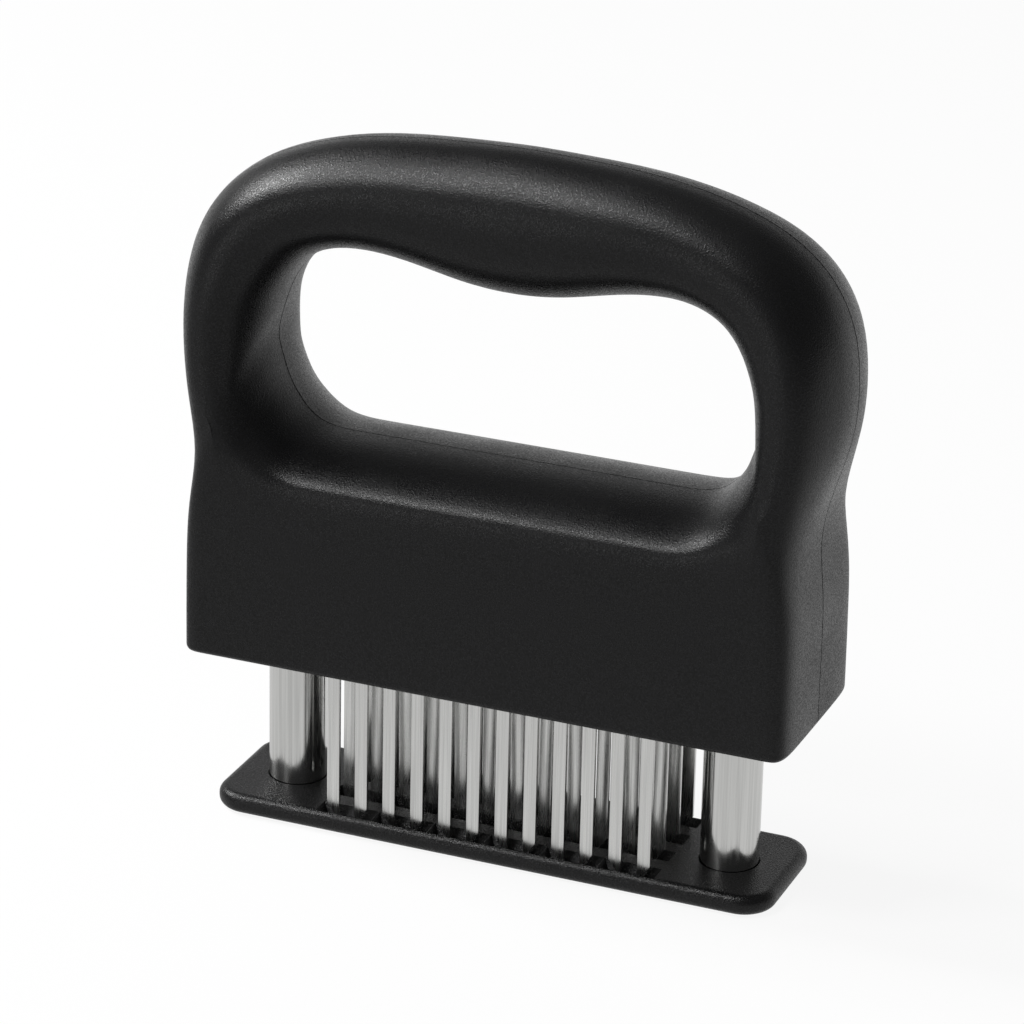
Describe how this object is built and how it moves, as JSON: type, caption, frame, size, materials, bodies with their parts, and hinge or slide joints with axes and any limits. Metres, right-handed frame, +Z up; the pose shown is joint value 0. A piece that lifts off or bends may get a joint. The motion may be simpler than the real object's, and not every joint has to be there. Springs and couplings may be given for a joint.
{
  "type": "blade meat tenderizer",
  "caption": "Hand press with a loop handle, rows of narrow steel blades and a spring-loaded foot plate on two steel posts that guards the blades.",
  "frame": {"origin": "middle of the foot plate's underside, on the surface that the tool stands on", "axes": "+Z up along the posts, +X along the length to the right as seen from the front, front face towards -Y"},
  "size_m": [0.1186, 0.035, 0.125],
  "materials": {
    "handle_plastic": "spark-eroded matt ABS",
    "foot_plastic": "fine-grained satin ABS",
    "inner_plastic": "plain moulded acetal",
    "blade_steel": "satin stamped stainless strip",
    "post_steel": "polished stainless tube",
    "spring_steel": "drawn stainless wire",
    "turned_steel": "turned steel",
    "screw_steel": "plated steel"
  },
  "bodies": {
    "handle": {"front_shell": "handle_plastic", "rear_shell": "handle_plastic", "shell_screws": "screw_steel", "base_cover": "inner_plastic", "cover_screws": "screw_steel", "blade_holder": "inner_plastic", "blade_clamp": "inner_plastic", "clamp_screws": "screw_steel", "double_blade_row1_1": "blade_steel", "double_blade_row1_2": "blade_steel", "double_blade_row1_3": "blade_steel", "double_blade_row1_4": "blade_steel", "double_blade_row1_5": "blade_steel", "double_blade_row1_6": "blade_steel", "double_blade_row2_1": "blade_steel", "double_blade_row2_2": "blade_steel", "double_blade_row2_3": "blade_steel", "double_blade_row2_4": "blade_steel", "double_blade_row2_5": "blade_steel", "double_blade_row2_6": "blade_steel", "double_blade_row3_1": "blade_steel", "double_blade_row3_2": "blade_steel", "double_blade_row3_3": "blade_steel", "double_blade_row3_4": "blade_steel", "double_blade_row3_5": "blade_steel", "double_blade_row3_6": "blade_steel", "double_blade_row4_1": "blade_steel", "double_blade_row4_2": "blade_steel", "double_blade_row4_3": "blade_steel", "double_blade_row4_4": "blade_steel", "double_blade_row4_5": "blade_steel", "double_blade_row4_6": "blade_steel", "left_guide_bush": "inner_plastic", "left_spring_pin": "turned_steel", "left_spring_washer": "turned_steel", "left_spring": "spring_steel", "right_guide_bush": "inner_plastic", "right_spring_pin": "turned_steel", "right_spring_washer": "turned_steel", "right_spring": "spring_steel"},
    "foot": {"foot_plate": "foot_plastic", "foot_screws": "screw_steel", "left_post": "post_steel", "left_post_plug": "turned_steel", "left_stop_ring": "turned_steel", "right_post": "post_steel", "right_post_plug": "turned_steel", "right_stop_ring": "turned_steel"}
  },
  "joints": [
    {"name": "foot_slide", "type": "slide", "parent": "handle", "child": "foot", "axis": [0, 0, 1], "range_m": [0, 0.024], "stiffness_N_per_m": 1000, "springref_m": -0.012, "deforming": ["left_spring", "right_spring"]}
  ]
}
